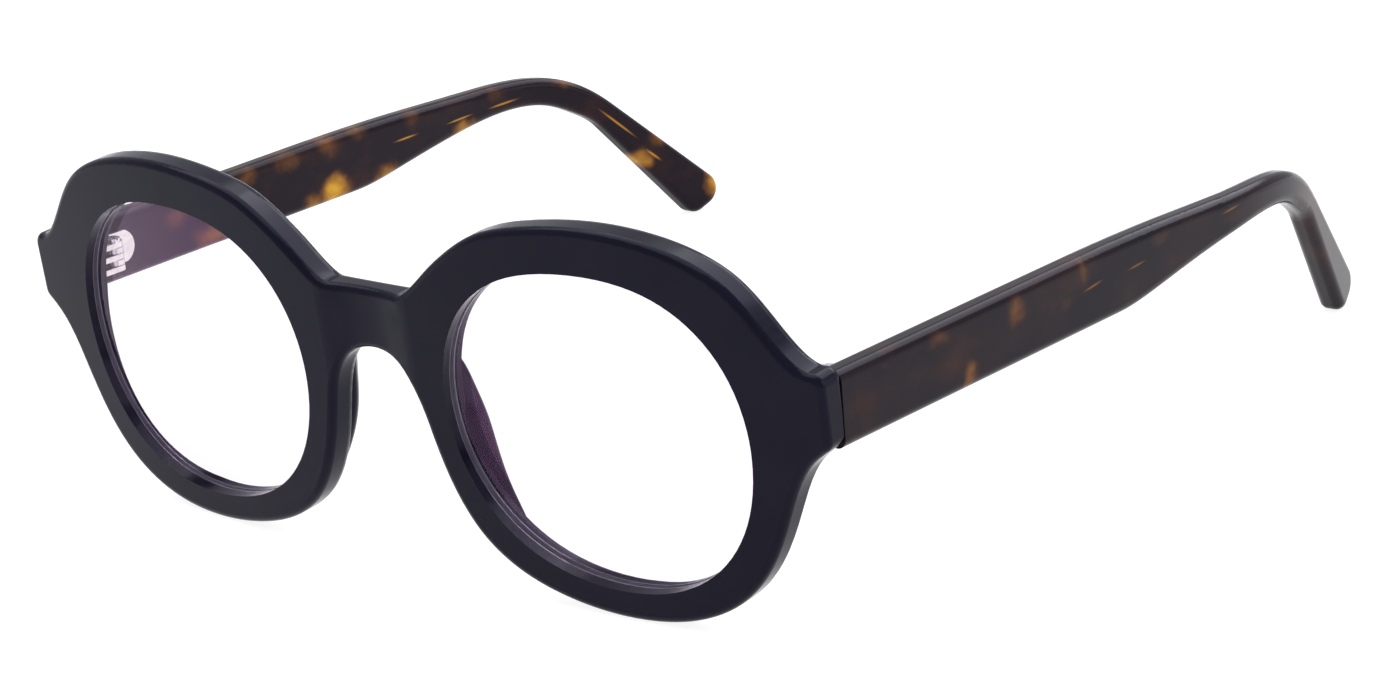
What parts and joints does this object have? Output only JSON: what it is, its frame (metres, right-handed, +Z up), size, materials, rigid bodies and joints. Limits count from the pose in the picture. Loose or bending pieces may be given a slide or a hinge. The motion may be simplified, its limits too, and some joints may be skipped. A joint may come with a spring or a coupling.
{
  "type": "eyeglasses",
  "caption": "Round-lens eyeglasses with a thick black plastic front, clear lenses and folding tortoise-patterned side arms on barrel hinges.",
  "frame": {"origin": "on the floor, under the middle of the open glasses' bounding box", "axes": "+X towards the wearer's left, +Y back along the side arms, +Z up; the bridge, lens faces and rims look along -Y"},
  "size_m": [0.149, 0.1448, 0.0539],
  "materials": {
    "black_acetate": "polished black acetate",
    "tortoise_acetate": "polished dark tortoise acetate with amber patches",
    "lens": "clear, with a faint violet anti-reflection coating",
    "hinge_steel": "satin silver",
    "screw_steel": "bright steel",
    "core_steel": "plain wire, hidden in the side arm"
  },
  "bodies": {
    "front_frame": {"front": "black_acetate", "nose_pad_left": "black_acetate", "nose_pad_right": "black_acetate", "lens_left": "lens", "lens_right": "lens", "front_hinge_left": "hinge_steel", "front_hinge_right": "hinge_steel", "hinge_screw_left": "screw_steel", "hinge_screw_right": "screw_steel"},
    "left_arm": {"temple_left": "tortoise_acetate", "core_wire_left": "core_steel", "temple_hinge_left": "hinge_steel"},
    "right_arm": {"temple_right": "tortoise_acetate", "core_wire_right": "core_steel", "temple_hinge_right": "hinge_steel"}
  },
  "joints": [
    {"name": "left_fold", "type": "hinge", "parent": "front_frame", "child": "left_arm", "pos_m": [0.0659, -0.05719, 0.03229], "axis": [0, 0.0401, 0.9992], "range_deg": [0, 90]},
    {"name": "right_fold", "type": "hinge", "parent": "front_frame", "child": "right_arm", "pos_m": [-0.0659, -0.05719, 0.03229], "axis": [0, -0.0401, -0.9992], "range_deg": [0, 80]}
  ]
}
